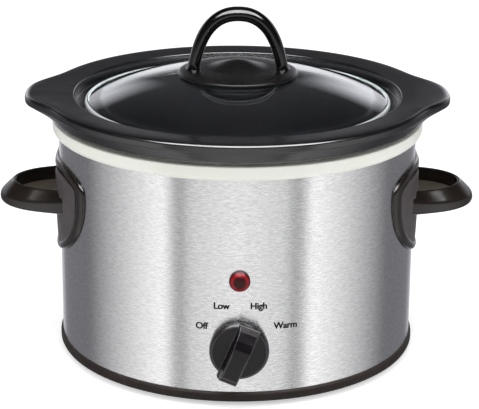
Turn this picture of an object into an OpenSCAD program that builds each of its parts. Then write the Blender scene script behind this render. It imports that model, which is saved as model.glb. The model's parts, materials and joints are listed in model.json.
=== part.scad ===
// Round slow cooker: brushed steel housing, lift-out stoneware crock, glass lid.
// Millimetres, +Z up, origin under the middle of the feet, control knob towards -Y.

/* [Housing] */
// Outer radius of the steel housing
shell_r = 114.5; // [108:0.5:120]
// Room between the floor of the base and the heater well
under_room = 20.7; // [19:0.1:30]
// Sheet thickness of the housing
shell_wall = 0.6; // [0.5:0.1:0.8]
// Height of the rubber feet below the base
foot_h = 3; // [2:0.5:5]
// Radius of a rubber foot
foot_r = 9; // [7:0.5:11]
// Distance from the housing in to the middle of a foot
foot_inset = 20.5; // [16:0.5:28]
// Thickness of the base floor
pan_floor = 2.5; // [2:0.5:3.5]
// Height of the outer lip of the base
pan_h = 6; // [5:0.5:8]
// How far the base stands out past the housing
pan_overhang = 1.5; // [1:0.25:2.5]
// Depth of the channel that takes the lower edge of the housing
pan_channel = 2; // [1:0.5:3]
// Number of cooling slots in the base
vent_count = 12; // [6:2:18]

/* [Rim collar] */
// How far the collar stands out past the housing
collar_overhang = 3.9; // [3:0.1:5]
// Height of the visible collar band
collar_h = 9; // [8:0.5:11]
// Depth of the groove over the upper edge of the housing
collar_groove = 3.4; // [2:0.2:5]
// Height of the shoulder that carries the heater well
shoulder_h = 1.2; // [0.8:0.1:2]

/* [Heater well] */
// Air gap between the crock wall and the well
well_gap = 4.5; // [3:0.5:5]
// Sheet thickness of the well
well_wall = 0.8; // [0.6:0.1:1]
// Width of the turned-out flange of the well
well_flange = 4.7; // [4:0.1:5.5]
// Gap between the crock foot and the floor of the well
well_floor_gap = 3; // [2:0.5:4]
// Thickness of the heating band
band_t = 2.5; // [2:0.25:3]
// Height of the heating band
band_h = 42; // [30:1:50]
// Height of the heating band's lower edge above the floor of the well
band_rise = 35.8; // [32:0.2:44]
// Thickness of the insulating wrap
wrap_t = 4; // [3:0.5:4.5]

/* [Crock] */
// Distance from the housing in to the crock wall under the rim
crock_inset = 13; // [12.5:0.5:16]
// How much smaller in radius the crock is at its foot
crock_taper = 12; // [11:0.5:16]
// Wall thickness of the crock
crock_wall = 9; // [7:0.5:10]
// Thickness of the crock floor
crock_floor = 9; // [7:0.5:11]
// Height of the crock from foot to seat
crock_h = 124.9; // [110:0.1:140]
// Thickness of the stoneware under the lid ledge
ledge_t = 4.4; // [4:0.1:6]
// Depth of the recess that holds the lid
recess_h = 7.7; // [6:0.1:9]
// How far the recess that holds the lid is wider than the crock wall
recess_step = 2.5; // [1:0.5:3.5]
// How far the crock rim stands out past the housing between the ears
rim_overhang = 9.3; // [7.5:0.1:12]
// How far each ear stands out past the rim
ear_reach = 11.7; // [0:0.1:16]
// Angle from the middle of the ear at which it is half as far out
ear_half_angle = 13.7; // [10:0.1:17]

/* [Lid] */
// Distance from the wall of the recess in to the edge of the lid
lid_inset = 6.5; // [5.5:0.5:9]
// Diameter of the rounded bead round the glass
bead_d = 3.6; // [3:0.1:4.5]
// Thickness of the glass
glass_t = 3.5; // [3:0.1:4]
// Rise of the glass from its underside to its top
lid_rise = 21.7; // [15:0.1:28]
// Radius of the handle's round base
grip_base_r = 38; // [30:0.5:42]
// Height of the arch above the glass
arch_h = 40.5; // [34:0.5:48]
// Half of the arch's span, measured at its centre line
arch_half = 26.2; // [23:0.1:30]
// Thickness of the arch, seen from the front
arch_t = 8.2; // [7:0.1:11]
// Width of the arch from front to back
arch_w = 11.5; // [9:0.5:14]

/* [Side handles] */
// Distance from the top of the housing down to the rim of the handle loop
loop_drop = 38.2; // [34:0.2:48]
// Height of the handle band
loop_h = 14.2; // [12:0.2:18]
// Depth of the finger recess inside the band
hold_depth = 8.8; // [7:0.2:10]
// How far the opening reaches out past the housing
loop_reach = 28.5; // [24:0.5:34]
// Half width of the opening at its root
loop_half = 25; // [22:0.5:30]
// Thickness of the band at the tip
loop_tip_t = 10.5; // [8:0.5:13]
// Thickness of the band at its roots
loop_root_t = 8; // [7:0.5:10]
// Half width of the pad on the housing
pad_half = 65.4; // [50:0.2:70]
// Distance from the top of the housing down to the widest line of the pad
pad_drop = 33; // [26:0.5:38]
// Height of the pad above its widest line
pad_up = 16; // [15:0.5:22]
// Height of the pad below its widest line
pad_down = 47.5; // [35:0.5:50]
// Thickness of the pad at its raised border
pad_t = 2.6; // [2:0.1:4]
// Width of the raised border
pad_border = 5.4; // [4:0.2:7]
// Radius of the handle screws
screw_r = 1.9; // [1.5:0.1:2.2]
// How deep the handle screws reach into the handle
screw_grip = 7; // [5:0.5:8]

/* [Controls] */
// Height of the knob's axis
knob_z = 37.8; // [36:0.1:42]
// Radius of the knob
knob_r = 18; // [15:0.5:20]
// Thickness of the knob's disc
knob_t = 6.2; // [5:0.1:8]
// Height of the grip bar above the disc
bar_h = 8.5; // [6:0.5:11]
// Width of the grip bar where it meets the disc
bar_w = 13.2; // [11:0.2:15]
// How much each side of the bar leans in towards its top
bar_draft = 1.2; // [0.4:0.1:1.8]
// How far the tail of the bar reaches past the disc
tail_reach = 1.4; // [1:0.2:4]
// Angle of the pointer from upright at rest
pointer_angle = 23; // [0:1:45]
// Radius of the switch shaft
shaft_r = 3; // [2.5:0.1:3.5]
// Height of the indicator lamp
lamp_z = 81; // [76:0.5:90]
// Radius of the indicator lens
lens_r = 6.35; // [5:0.05:8]

/* [Cord entry] */
// Height of the cord gland
gland_z = 32; // [28:1:36]
// Radius of the hole for the cord
gland_bore_r = 3.6; // [3:0.1:4]
// Length of the hole for the cord
gland_len = 20; // [16:0.5:24]

/* [Clearances] */
// Gap between pieces that lift apart
seat_gap = 0.3; // [0.2:0.1:0.5]
// Gap between fixed pieces that lie against each other
fit_gap = 0.1; // [0.05:0.05:0.2]
// Radial gap of the turning shaft
run_gap = 0.05; // [0.02:0.01:0.1]
// Radial gap of sheet edges in their grooves
groove_gap = 0.3; // [0.2:0.1:0.4]

/* [Hidden] */
$fn = 96;
eps = 0.01;

// Heights, from the feet up
pan_z = foot_h;
floor_z = pan_z + pan_floor;
shell_z = pan_z + pan_h - pan_channel;
well_floor_z = floor_z + under_room;
crock_foot_z = well_floor_z + well_wall + well_floor_gap;
crock_seat_z = crock_foot_z + crock_h;
flange_top = crock_seat_z - seat_gap;
seat_z = flange_top - well_wall;
collar_top = seat_z - shoulder_h;
collar_z = collar_top - collar_h;
shell_top = collar_z + collar_groove;
ledge_z = crock_seat_z + ledge_t;
lip_z = ledge_z + recess_h;
lid_z = ledge_z + seat_gap;
apex_z = lid_z + lid_rise;
band_z = well_floor_z + band_rise;
loop_z = shell_top - loop_drop;
pad_z = shell_top - pad_drop;

// Radii
foot_ring_r = shell_r - foot_inset;
crock_r = shell_r - crock_inset;
crock_foot_r = crock_r - crock_taper;
recess_r = crock_r + recess_step;
rim_r = shell_r + rim_overhang;
lid_r = recess_r - lid_inset;
shell_in = shell_r - shell_wall;
pan_r = shell_r + pan_overhang;
collar_r = shell_r + collar_overhang;
well_in = crock_r + well_gap;
well_out = well_in + well_wall;
well_foot_in = crock_foot_r + well_gap + 0.7;
flange_r = well_in + well_flange;
collar_in = well_out + groove_gap;
well_corner = 18;
well_taper_top = crock_seat_z - 8;

// Outer radius of the well's tapered wall, for what lies against it
well_taper_z = well_floor_z + well_corner;
function well_r_at(z) = well_foot_in + well_wall
    + (well_in - well_foot_in) * (z - well_taper_z) / (well_taper_top - well_taper_z);

// Points of an arc, for outlines
function arc(x, y, r, a0, a1, n) =
    [for (i = [0:n]) let (a = a0 + (a1 - a0) * i / n) [x + r * cos(a), y + r * sin(a)]];

// Middle of a ring of points
function middle(ring) = [for (c = [0:2]) sum([for (p = ring) p[c]]) / len(ring)];
function sum(v, i = 0) = i < len(v) ? v[i] + sum(v, i + 1) : 0;

// Closed skin over rings of points, every ring with the same count
module skin(rings) {
    n = len(rings[0]);
    m = len(rings);
    pts = concat([for (ring = rings) for (p = ring) p], [middle(rings[0]), middle(rings[m - 1])]);
    sides = [for (i = [0:m - 2]) for (j = [0:n - 1]) let (k = (j + 1) % n)
        each [[i * n + j, (i + 1) * n + j, (i + 1) * n + k], [i * n + j, (i + 1) * n + k, i * n + k]]];
    first = [for (j = [0:n - 1]) [n * m, j, (j + 1) % n]];
    last = [for (j = [0:n - 1]) [n * m + 1, (m - 1) * n + (j + 1) % n, (m - 1) * n + j]];
    polyhedron(points = pts, faces = concat(sides, first, last), convexity = 8);
}

// Closed skin over rings that run all the way round
module skin_loop(rings) {
    n = len(rings[0]);
    m = len(rings);
    pts = [for (ring = rings) for (p = ring) p];
    sides = [for (i = [0:m - 1]) for (j = [0:n - 1]) let (k = (j + 1) % n, h = (i + 1) % m)
        each [[i * n + j, h * n + j, h * n + k], [i * n + j, h * n + k, i * n + k]]];
    polyhedron(points = pts, faces = sides, convexity = 8);
}

// Tube between two heights
module tube(r_out, r_in, z0, z1) {
    translate([0, 0, z0]) difference() {
        cylinder(r = r_out, h = z1 - z0);
        translate([0, 0, -1]) cylinder(r = r_in, h = z1 - z0 + 2);
    }
}

// Cylinder along +Y from y0 to y1, at height z
module along_y(r, y0, y1, x, z) {
    translate([x, y1, z]) rotate([90, 0, 0]) cylinder(r = r, h = y1 - y0);
}

// Places its children on the +X axis at a turn about Z
module turned(angle) {
    rotate([0, 0, angle]) children();
}

// Cylinder that points outwards along the radius, from r0 to r1
module radial(r, r0, r1, angle, z) {
    rotate([0, 0, angle]) translate([r0, 0, z]) rotate([0, 90, 0]) cylinder(r = r, h = r1 - r0);
}

// ---------------------------------------------------------------- housing

bushing_r = 4;
bushing_hole_r = bushing_r + groove_gap;
lens_stem_r = 4;
lens_hole_r = lens_stem_r + fit_gap;
screw_hole_r = screw_r + 0.4;
screw_angle = asin((loop_half + loop_root_t / 2 - 2) / shell_r);
screw_z = loop_z - loop_h / 2;
gland_neck_r = 6;

module outer_shell() {
    color([0.80, 0.81, 0.82]) difference() {
        tube(shell_r, shell_in, shell_z, shell_top);
        along_y(bushing_hole_r, -shell_r - 1, -shell_in + 4, 0, knob_z);
        along_y(lens_hole_r, -shell_r - 1, -shell_in + 4, 0, lamp_z);
        along_y(gland_neck_r + fit_gap, shell_in - 4, shell_r + 1, 0, gland_z);
        for (side = [0, 180]) for (s = [-1, 1])
            radial(screw_hole_r, shell_in - 3, shell_r + 1, side + s * screw_angle, screw_z);
    }
}

tie_well_r = 11;
tie_well_z = pan_z + 5;
bolt_r = 2;
locating_wall = 2;
locating_h = 12;
foot_neck_r = 4;
vent_start = 0.4 * shell_r;
vent_end = 0.6 * shell_r;
vent_half = 2;

module base_pan() {
    lip_top = pan_z + pan_h;
    channel_in = shell_in - groove_gap;
    channel_out = shell_r + groove_gap;
    edge = 2.2;
    color([0.17, 0.15, 0.14]) difference() {
        rotate_extrude() difference() {
            polygon(concat(
                [[0, pan_z], [pan_r - 0.6, pan_z]],
                [[pan_r, pan_z + 1.2], [pan_r, lip_top - edge]],
                arc(pan_r - edge, lip_top - edge, edge, 15, 75, 4),
                [[channel_out, lip_top], [channel_out, shell_z], [channel_in, shell_z],
                 [channel_in, floor_z + locating_h], [channel_in - locating_wall, floor_z + locating_h],
                 [channel_in - locating_wall, floor_z], [tie_well_r + 4, floor_z],
                 [tie_well_r + 2, tie_well_z + pan_floor], [0, tie_well_z + pan_floor]]));
            square([tie_well_r, tie_well_z]);
        }
        translate([0, 0, pan_z - 1]) cylinder(r = bolt_r + groove_gap, h = 20);
        for (i = [0:3]) turned(45 + 90 * i) translate([foot_ring_r, 0, pan_z - 1])
            cylinder(r = foot_neck_r + fit_gap, h = pan_floor + 2);
        for (i = [0:vent_count - 1]) turned((i + 0.5) * 360 / vent_count) translate([0, 0, pan_z - 1]) {
            translate([vent_start, -vent_half, 0]) cube([vent_end - vent_start, 2 * vent_half, pan_floor + 2]);
            translate([vent_start, 0, 0]) cylinder(r = vent_half, h = pan_floor + 2);
            translate([vent_end, 0, 0]) cylinder(r = vent_half, h = pan_floor + 2);
        }
    }
}

module rubber_feet() {
    color([0.12, 0.12, 0.12]) for (i = [0:3]) turned(45 + 90 * i) translate([foot_ring_r, 0, 0])
        rotate_extrude($fn = 48) polygon(concat(
            [[0, 0]],
            arc(foot_r - 1.2, 1.2, 1.2, -90, 0, 4),
            [[foot_r, foot_h], [foot_neck_r, foot_h], [foot_neck_r, floor_z + fit_gap],
             [foot_neck_r + 1.4, floor_z + fit_gap], [foot_neck_r + 0.4, floor_z + 3], [0, floor_z + 3]]));
}

module rim_collar() {
    big = collar_r - shell_r - groove_gap;
    small = 0.8;
    groove_in = shell_in - groove_gap;
    groove_out = shell_r + groove_gap;
    color([0.93, 0.93, 0.87]) rotate_extrude($fn = 128) polygon(concat(
        [[groove_in, collar_z - 2], [groove_in, shell_top], [groove_out, shell_top], [groove_out, collar_z]],
        arc(collar_r - big, collar_z + big, big, -90, 0, 6),
        arc(collar_r - small, collar_top - small, small, 0, 90, 3),
        [[flange_r + 0.6, collar_top], [flange_r, seat_z], [collar_in, seat_z], [collar_in, seat_z - 4],
         [groove_in - 2.2, collar_z + 1], [groove_in - 2.2, collar_z - 2]]));
}

// ------------------------------------------------------------ heater well

module heater_well() {
    corner = well_corner;
    z0 = well_floor_z;
    color([0.72, 0.73, 0.74]) rotate_extrude() polygon(concat(
        [[0, z0]],
        arc(well_foot_in + well_wall - corner, z0 + corner, corner, -90, 0, 8),
        [[well_out, well_taper_top], [well_out, seat_z], [flange_r, seat_z], [flange_r, flange_top],
         [well_in, flange_top], [well_in, well_taper_top]],
        arc(well_foot_in + well_wall - corner, z0 + corner, corner - well_wall, 0, -90, 8),
        [[0, z0 + well_wall]]));
}

// Conical sleeve round the well, from r0 to r1 outside its wall
module well_sleeve(r0, r1, z0, z1) {
    rotate_extrude() polygon([
        [well_r_at(z0) + r0, z0], [well_r_at(z0) + r1, z0],
        [well_r_at(z1) + r1, z1], [well_r_at(z1) + r0, z1]]);
}

band_split = 12;
band_top = band_z + band_h;

module heating_band() {
    color([0.62, 0.60, 0.55]) difference() {
        well_sleeve(fit_gap, fit_gap + band_t, band_z, band_top);
        translate([0, -band_split / 2, band_z - 1]) turned(90)
            translate([0, -band_split, 0]) cube([shell_r, band_split, band_h + 2]);
    }
}

module band_straps() {
    strap_h = 7;
    color([0.75, 0.75, 0.76]) for (z = [band_z + 5, band_top - 5 - strap_h])
        well_sleeve(2 * fit_gap + band_t, 2 * fit_gap + band_t + 0.5, z, z + strap_h);
}

module insulation_wrap() {
    r0 = 3 * fit_gap + band_t + 0.5;
    color([0.90, 0.88, 0.80]) well_sleeve(r0, r0 + wrap_t, band_z + 1, band_top - 1);
}

bracket_h = 9;
bracket_half = 14;
bracket_w = 16;
bracket_foot = 10;
bracket_t = 1.2;

module tie_bracket() {
    t = bracket_t;
    top = well_floor_z - fit_gap;
    color([0.70, 0.71, 0.72]) difference() {
        union() {
            translate([-bracket_half, -bracket_w / 2, top - bracket_h]) cube([2 * bracket_half, bracket_w, t]);
            for (s = [-1, 1]) translate([s * bracket_half, 0, top - bracket_h / 2])
                cube([t, bracket_w, bracket_h], center = true);
            for (s = [-1, 1]) translate([s * (bracket_half + bracket_foot / 2), 0, top - t / 2])
                cube([bracket_foot + t, bracket_w, t], center = true);
        }
        translate([0, 0, top - bracket_h - 1]) cylinder(r = bolt_r + fit_gap, h = t + 2);
    }
}

bolt_head_h = 3;
bolt_end = pan_z + 0.6;
bolt_top = well_floor_z - fit_gap - bracket_h + bracket_t;

module tie_bolt() {
    color([0.66, 0.67, 0.68]) union() {
        translate([0, 0, bolt_end]) cylinder(r = bolt_r, h = bolt_top - bolt_end + eps, $fn = 32);
        translate([0, 0, bolt_top]) cylinder(r = 2 * bolt_r, h = bolt_head_h, $fn = 6);
    }
}

nut_h = 3.2;

module tie_nut() {
    color([0.66, 0.67, 0.68]) translate([0, 0, tie_well_z - nut_h]) difference() {
        union() {
            cylinder(r = 4.2, h = nut_h, $fn = 6);
            translate([0, 0, nut_h - 0.8]) cylinder(r = 8, h = 0.8, $fn = 48);
        }
        translate([0, 0, -1]) cylinder(r = bolt_r + run_gap, h = nut_h + 2, $fn = 32);
    }
}

fuse_r = 2;
fuse_x = 38;
fuse_y = 26;

module thermal_fuse() {
    z = well_floor_z - fit_gap - fuse_r;
    color([0.80, 0.76, 0.66]) translate([fuse_x, fuse_y, z]) rotate([0, 90, 0]) union() {
        translate([0, 0, -6]) cylinder(r = fuse_r, h = 12, $fn = 32);
        translate([0, 0, -14]) cylinder(r = 0.5, h = 28, $fn = 16);
    }
}

module fuse_clip() {
    t = 0.6;
    w = 8;
    tab = 7;
    z = well_floor_z - fit_gap;
    r = fuse_r + fit_gap;
    color([0.72, 0.73, 0.74]) translate([fuse_x - w / 2, fuse_y, z]) {
        difference() {
            translate([0, -r - t, -2 * r - t]) cube([w, 2 * (r + t), 2 * r + t]);
            translate([-1, -r, -2 * r]) cube([w + 2, 2 * r, 2 * r + 1]);
        }
        translate([0, r, -t]) cube([w, tab, t]);
    }
}

// --------------------------------------------------------------- controls

switch_face = shell_in - 2.4;
switch_depth = 12;
switch_half = 10.5;

module rotary_switch() {
    y0 = -switch_face;
    color([0.20, 0.20, 0.21]) difference() {
        union() {
            translate([-switch_half, y0, knob_z - switch_half])
                cube([2 * switch_half, switch_depth, 2 * switch_half]);
            along_y(bushing_r, -shell_r - 3.2, y0 + 1, 0, knob_z);
            for (i = [-1.5:1:1.5]) translate([i * 5 - 1.6, y0 + 6, knob_z - switch_half - 7]) cube([3.2, 0.8, 8]);
        }
        along_y(shaft_r + run_gap, -shell_r - 5, y0 + 9, 0, knob_z);
    }
}

module switch_nut() {
    color([0.70, 0.71, 0.72]) difference() {
        translate([0, -shell_r - fit_gap, knob_z]) rotate([90, 0, 0]) cylinder(r = 6.6, h = 2.2, $fn = 6);
        along_y(bushing_r + run_gap, -shell_r - 4, -shell_r + 2, 0, knob_z);
    }
}

knob_back = shell_r + 0.9;
nut_room_r = 8.4;
nut_room_h = 3.4;
shaft_flat = shaft_r - 1;
shaft_tail = knob_back - switch_face + 8;

// Puts a knob drawn on its back in the XY plane onto the switch axis
module on_knob_axis() {
    translate([0, -knob_back, knob_z]) rotate([90, 0, 0]) turned(-pointer_angle) children();
}

module switch_shaft() {
    color([0.72, 0.72, 0.74]) on_knob_axis() difference() {
        translate([0, 0, -shaft_tail]) cylinder(r = shaft_r, h = shaft_tail + knob_t - 0.8);
        translate([-shaft_r - 1, shaft_flat, nut_room_h - 0.2]) cube([2 * shaft_r + 2, 3, knob_t]);
    }
}

// Knob lying on its back in the XY plane, pointer towards +Y
module knob_flat() {
    half = bar_w / 2;
    half_top = half - bar_draft;
    bar_top = knob_t + bar_h;
    tail = -knob_r - tail_reach;
    difference() {
        union() {
            rotate_extrude() polygon([
                [0, 0], [knob_r, 0], [knob_r, knob_t - 2.2],
                [knob_r - 0.5, knob_t - 1], [knob_r - 1.5, knob_t - 0.2], [knob_r - 3, knob_t], [0, knob_t]]);
            intersection() {
                rotate([90, 0, 0]) translate([0, 0, -knob_r + 0.6]) linear_extrude(2 * knob_r - 0.6 + tail_reach)
                    polygon([[-half, knob_t - 3], [half, knob_t - 3], [half, knob_t + 0.3],
                        [half - 0.8 * bar_draft, knob_t + 0.4 * bar_h], [half_top, bar_top - 0.6],
                        [half_top - 0.6, bar_top], [0.6 - half_top, bar_top], [-half_top, bar_top - 0.6],
                        [0.8 * bar_draft - half, knob_t + 0.4 * bar_h], [-half, knob_t + 0.3]]);
                rotate([90, 0, 90]) translate([0, 0, -bar_w]) linear_extrude(2 * bar_w)
                    polygon([[tail, knob_t - 3], [knob_r - 0.6, knob_t - 3], [knob_r - 0.8, knob_t + 0.4],
                        [knob_r - 4, knob_t + 0.32 * bar_h], [knob_r - 9, knob_t + 0.68 * bar_h],
                        [knob_r - 14, knob_t + 0.9 * bar_h], [knob_r - 19, bar_top], [tail + 4, bar_top],
                        [tail + 1, bar_top - 1.6], [tail, bar_top - 5]]);
            }
        }
        translate([0, 0, -1]) cylinder(r = nut_room_r, h = nut_room_h + 1);
        difference() {
            translate([0, 0, -1]) cylinder(r = shaft_r + run_gap, h = knob_t + 1 - 0.6);
            translate([-shaft_r - 1, shaft_flat + run_gap, 1.2]) cube([2 * shaft_r + 2, 3, knob_t]);
        }
    }
}

module control_knob() {
    color([0.19, 0.18, 0.19]) on_knob_axis() knob_flat();
}

lens_back = shell_r - 5;

module indicator_lens() {
    rise = 3.2;
    dome_r = (lens_r * lens_r + rise * rise) / (2 * rise);
    half = asin(lens_r / dome_r);
    color([0.72, 0.06, 0.06]) translate([0, -shell_r, lamp_z]) rotate([90, 0, 0]) difference() {
        rotate_extrude($fn = 64) polygon(concat(
            [[0, lens_back - shell_r], [lens_stem_r, lens_back - shell_r], [lens_stem_r, fit_gap + 0.2],
             [lens_r, fit_gap + 0.2], [lens_r, 1.4]],
            arc(0, 1.4 + rise - dome_r, dome_r, 90 - half, 90, 8)));
        translate([0, 0, lens_back - shell_r - 1]) cylinder(r = 2.4, h = 7.5);
    }
}

module neon_lamp() {
    color([0.95, 0.55, 0.35]) along_y(2, -shell_r - 1.2, -lens_back + 2.2, 0, lamp_z);
}

module lamp_clip() {
    color([0.72, 0.73, 0.74]) difference() {
        along_y(6.4, -lens_back - 2.6, -lens_back - 1.6, 0, lamp_z);
        along_y(lens_stem_r + fit_gap, -lens_back - 4, -lens_back, 0, lamp_z);
    }
}

// ----------------------------------------------------------- side handles

pad_in = shell_r + fit_gap;
pad_out = pad_in + pad_t;
pad_face = pad_out - 0.8;
loop_root = 2.5;
loop_x = shell_r - loop_root;
hold_t = 3;

// Outline of the pad, blunt above and long below, set in by a width and drawn at share s of that
function pad_point(a, inset, s) =
    let (up = sin(a) >= 0, n = up ? 3.2 : 2.2, w = pad_half - inset, h = (up ? pad_up : pad_down) - inset)
    [s * w * sign(cos(a)) * pow(abs(cos(a)), 2 / n), s * h * sign(sin(a)) * pow(abs(sin(a)), 2 / n)];

// The pad outline pushed out onto a cylinder of radius r
function pad_ring(r, inset, s, n) =
    [for (i = [0:n - 1]) let (p = pad_point(360 * (i + 0.5) / n, inset, s))
        [sqrt(r * r - p[0] * p[0]), p[0], pad_z + p[1]]];

// Cross-section of the loop at angle a of its plan, inside edge first
function loop_ring(a) =
    let (x0 = loop_x + (loop_reach + loop_root) * cos(a), y0 = loop_half * sin(a),
         x1 = loop_x + (loop_reach + loop_root + loop_tip_t) * cos(a), y1 = (loop_half + loop_root_t) * sin(a),
         drop = 5.5 + 2 * cos(a), zt = loop_z, zb = loop_z - loop_h,
         section = [[0, zb + 1.4], [0, zt - 1.1], [0.06, zt - 0.25], [0.18, zt], [0.42, zt - 0.3 * drop],
             [0.7, zt - 0.68 * drop], [0.92, zt - drop - 0.4], [1, zt - drop - 2.8], [1, zb + 3],
             [0.94, zb + 1.2], [0.78, zb + 0.3], [0.5, zb], [0.15, zb + 0.3]])
    [for (p = section) [x0 + (x1 - x0) * p[0], y0 + (y1 - y0) * p[0], p[1]]];

// Floor of the finger recess, let into the band all round
module hold_floor() {
    lap = 1.5;
    reach = loop_reach + loop_root + lap;
    translate([0, 0, loop_z - hold_depth - hold_t]) linear_extrude(hold_t)
        polygon([for (i = [0:36]) let (a = -90 + 5 * i)
            [loop_x + reach * cos(a), (loop_half + lap) * sin(a)]]);
}

module side_handle() {
    pad_n = 48;
    loop_n = 36;
    difference() {
        union() {
            skin([for (q = [[pad_in - 2, 0, 1], [pad_out - 1.2, 0, 1], [pad_out - 0.3, 0.7, 1], [pad_out, 2, 1],
                    [pad_out - 0.2, 0.8 * pad_border, 1], [pad_face, pad_border, 1], [pad_face, pad_border, 0.7],
                    [pad_face, pad_border, 0.4], [pad_face, pad_border, 0.05]])
                pad_ring(q[0], q[1], q[2], pad_n)]);
            skin([for (i = [0:loop_n]) loop_ring(-90 + 180 * i / loop_n)]);
            hold_floor();
        }
        translate([0, 0, pad_z - pad_down - 5]) cylinder(r = pad_in, h = pad_down + pad_up + 10, $fn = 240);
        for (s = [-1, 1]) radial(screw_r + run_gap, shell_r - 2, shell_r + screw_grip + 0.5, s * screw_angle, screw_z);
    }
}

module right_handle() {
    color([0.16, 0.15, 0.15]) side_handle();
}

module left_handle() {
    color([0.16, 0.15, 0.15]) mirror([1, 0, 0]) side_handle();
}

module handle_screws() {
    head_r = 3.8;
    head_h = 2.4;
    seat = shell_in - fit_gap;
    color([0.66, 0.67, 0.68]) for (side = [0, 180]) for (s = [-1, 1]) {
        angle = side + s * screw_angle;
        radial(screw_r, seat - 1, shell_r + screw_grip, angle, screw_z);
        radial(head_r, seat - head_h, seat, angle, screw_z);
    }
}

// -------------------------------------------------------------- cord entry

gland_tail = 8;

module cord_gland() {
    seat = gland_tail + fit_gap;
    collar_r = gland_neck_r + 2.4;
    tip_r = gland_bore_r + 1.4;
    color([0.14, 0.14, 0.14]) translate([0, shell_r - gland_tail, gland_z]) rotate([-90, 0, 0])
        rotate_extrude($fn = 64) polygon([
            [gland_bore_r, 0], [gland_neck_r - 0.6, 0], [gland_neck_r, 0.6], [gland_neck_r, seat],
            [collar_r - 0.4, seat], [collar_r, seat + 0.4], [collar_r, seat + 2.4], [collar_r - 0.6, seat + 3],
            [gland_neck_r + 0.4, seat + 3], [tip_r, gland_len - 0.8], [tip_r - 0.6, gland_len],
            [gland_bore_r, gland_len]]);
}

module gland_nut() {
    color([0.16, 0.16, 0.16]) difference() {
        translate([0, shell_in - 1.1, gland_z]) rotate([90, 0, 0]) cylinder(r = 9, h = 3, $fn = 6);
        along_y(gland_neck_r + run_gap, shell_r - 12, shell_r, 0, gland_z);
    }
}

block_inset = 48.5;
block_y = shell_r - block_inset;
block_len = 34;
block_w = 14;
block_h = 10;
block_pitch = 10.5;
block_screw_r = 2;

module terminal_block() {
    color([0.88, 0.86, 0.78]) difference() {
        translate([-block_len / 2, block_y, floor_z]) cube([block_len, block_w, block_h]);
        for (i = [-1:1]) {
            translate([i * block_pitch, block_y + block_w / 2, floor_z + 3])
                cylinder(r = block_screw_r, h = block_h, $fn = 32);
            along_y(1.6, block_y - 1, block_y + block_w + 1, i * block_pitch, floor_z + 3.4);
        }
    }
}

module terminal_screws() {
    color([0.80, 0.68, 0.35]) for (i = [-1:1])
        translate([i * block_pitch, block_y + block_w / 2, floor_z + 5.4])
            cylinder(r = block_screw_r - run_gap, h = 3.2, $fn = 32);
}

// ------------------------------------------------------------------- crock

crock_corner = 20;
bowl_corner = 22;
bowl_top_r = crock_r - crock_wall;
bowl_foot_r = crock_foot_r - crock_wall + 0.5;
foot_ring_out = flange_r - 0.4;
seat_ring_in = well_in - seat_gap;

// Crock body as a turned profile: bowl, lid ledge and seat ring
module crock_body() {
    z0 = crock_foot_z;
    zi = z0 + crock_floor;
    rotate_extrude($fn = 128) polygon(concat(
        [[0, z0 + 1.2], [crock_foot_r - crock_corner - 6, z0 + 1.2], [crock_foot_r - crock_corner - 4, z0]],
        arc(crock_foot_r - crock_corner, z0 + crock_corner, crock_corner, -90, 0, 8),
        [[crock_r, crock_seat_z - 9], [crock_r + 0.6, crock_seat_z - 4.6], [crock_r + 2, crock_seat_z - 1.8],
         [seat_ring_in, crock_seat_z], [foot_ring_out, crock_seat_z], [foot_ring_out, ledge_z],
         [bowl_top_r + 1.2, ledge_z], [bowl_top_r + 0.4, ledge_z - 0.4], [bowl_top_r, ledge_z - 1.2]],
        arc(bowl_foot_r - bowl_corner, zi + bowl_corner, bowl_corner, 0, -90, 8),
        [[0, zi]]));
}

// Share of the ear's reach at angle a from the rim's long axis
function ear_share(a) = exp(-ln(2) * pow(a / ear_half_angle, 3.3));

// Cross-section of the rim at angle t: lip, crest, rolled edge, groove, skirt
function rim_ring(t) =
    let (m = abs(((t + 90) % 180) - 90), e = ear_reach * ear_share(m), r = rim_r, z = lip_z,
         section = [[recess_r - 0.2, ledge_z - 1.2], [recess_r + 0.1, z - 1.5], [recess_r + 0.7, z - 0.5],
             [recess_r + 2, z], [r - 14 + 0.3 * e, z + 0.25], [r - 5 + 0.85 * e, z + 0.75 - 0.04 * e],
             [r - 1.9 + e, z + 0.3 - 0.04 * e], [r - 0.5 + e, z - 0.9 - 0.04 * e], [r + e, z - 2.7],
             [r - 0.3 + e, z - 4.4], [r - 1.5 + e, z - 5], [r - 2.1 + 0.93 * e, z - 6.2],
             [r - 3.2 + 0.45 * e, z - 8.9], [r - 4.4, z - 11.2], [r - 5.4, z - 11.65],
             [r - 9.6, z - 11.6], [r - 10.6, ledge_z - 1.6]])
    [for (p = section) [p[0] * cos(t), p[0] * sin(t), p[1]]];

module crock() {
    rim_n = 96;
    color([0.13, 0.13, 0.14]) union() {
        crock_body();
        skin_loop([for (i = [0:rim_n - 1]) rim_ring(360 * i / rim_n)]);
    }
}

// --------------------------------------------------------------------- lid

edge_r = lid_r - bead_d / 2;
edge_z = lid_z + bead_d / 2;
dome_edge_z = edge_z + 0.9;
dome_rise = apex_z - dome_edge_z;
dome_r = (edge_r * edge_r + dome_rise * dome_rise) / (2 * dome_rise);
dome_mid_z = apex_z - dome_r;
dome_half = asin((edge_r - 1) / dome_r);
stud_r = 2;
lid_hole_r = 4;

module glass_lid() {
    color([0.85, 0.92, 0.92, 0.35]) rotate_extrude($fn = 128) polygon(concat(
        [[lid_hole_r, glass_under(lid_hole_r)], [lid_hole_r, glass_top(lid_hole_r)]],
        arc(0, dome_mid_z, dome_r, 88, 90 - dome_half, 14),
        arc(edge_r, edge_z, bead_d / 2, 100, -110, 12),
        arc(0, dome_mid_z, dome_r - glass_t, 90 - dome_half + 1.4, 88, 14)));
}

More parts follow.
